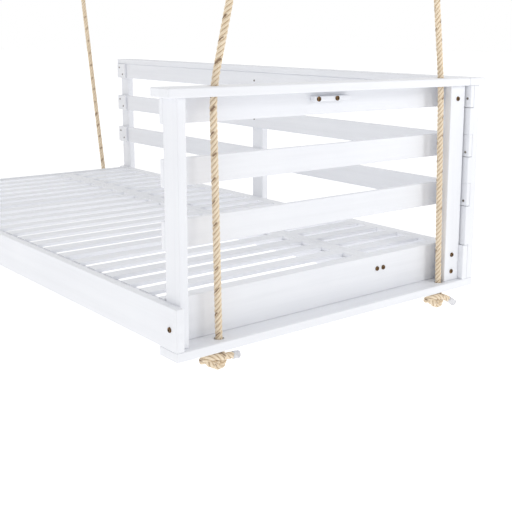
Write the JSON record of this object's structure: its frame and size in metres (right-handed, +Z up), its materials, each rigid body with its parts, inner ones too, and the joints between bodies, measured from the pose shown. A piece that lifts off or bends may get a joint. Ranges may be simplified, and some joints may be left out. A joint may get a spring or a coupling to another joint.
{
  "type": "porch swing seat",
  "caption": "Slatted wooden hanging daybed with a slatted back, one end guard with a cap board, and a knotted rope at each corner.",
  "frame": {"origin": "the centre of the four hanging eyes' crowns, which carry the seat", "axes": "+X along the seat towards the guarded end, +Y from the front to the back, +Z up"},
  "size_m": [2.04, 1.072, 1.0677],
  "materials": {
    "white_wood": "satin white paint on wood",
    "rope": "natural three-strand laid rope",
    "tape": "white tape round the rope's end",
    "whipping": "tight twine whipping",
    "bolt_steel": "dark bronze",
    "screw_steel": "dull zinc"
  },
  "bodies": {
    "root": {"back_bottom_slat": "white_wood", "back_cap": "white_wood", "back_cleat_screws": "screw_steel", "back_left_bottom_cleat": "white_wood", "back_left_middle_cleat": "white_wood", "back_left_post": "white_wood", "back_left_top_cleat": "white_wood", "back_middle_post": "white_wood", "back_middle_slat": "white_wood", "back_right_post": "white_wood", "back_slat_screws": "screw_steel", "back_top_slat": "white_wood", "cap_cleat_bolts": "bolt_steel", "eye_whippings": "whipping", "front_bearers": "white_wood", "front_deck_rear_bar": "white_wood", "front_deck_slats": "white_wood", "front_joist": "white_wood", "front_ledger": "white_wood", "front_left_corner_block": "white_wood", "front_left_knot": "rope", "front_left_rope": "rope", "front_rail": "white_wood", "front_rail_bolts": "bolt_steel", "front_right_knot": "rope", "front_right_rope": "rope", "guard_bottom_slat": "white_wood", "guard_cap": "white_wood", "guard_cap_cleat": "white_wood", "guard_front_post": "white_wood", "guard_middle_slat": "white_wood", "guard_post_bolts": "bolt_steel", "guard_rear_cover": "white_wood", "guard_rear_post": "white_wood", "guard_slat_screws": "screw_steel", "guard_top_slat": "white_wood", "hanging_eyes": "rope", "joist_bolts": "bolt_steel", "left_end_apron": "white_wood", "left_end_sill": "white_wood", "rear_bearers": "white_wood", "rear_deck_front_bar": "white_wood", "rear_deck_rear_bar": "white_wood", "rear_deck_slats": "white_wood", "rear_joist": "white_wood", "rear_ledger": "white_wood", "rear_left_corner_block": "white_wood", "rear_left_knot": "rope", "rear_left_rope": "rope", "rear_rail": "white_wood", "rear_rail_bolts": "bolt_steel", "rear_right_knot": "rope", "rear_right_rope": "rope", "right_end_apron": "white_wood", "right_end_sill": "white_wood", "rope_end_tapes": "tape", "seam_ledger": "white_wood"}
  },
  "joints": []
}
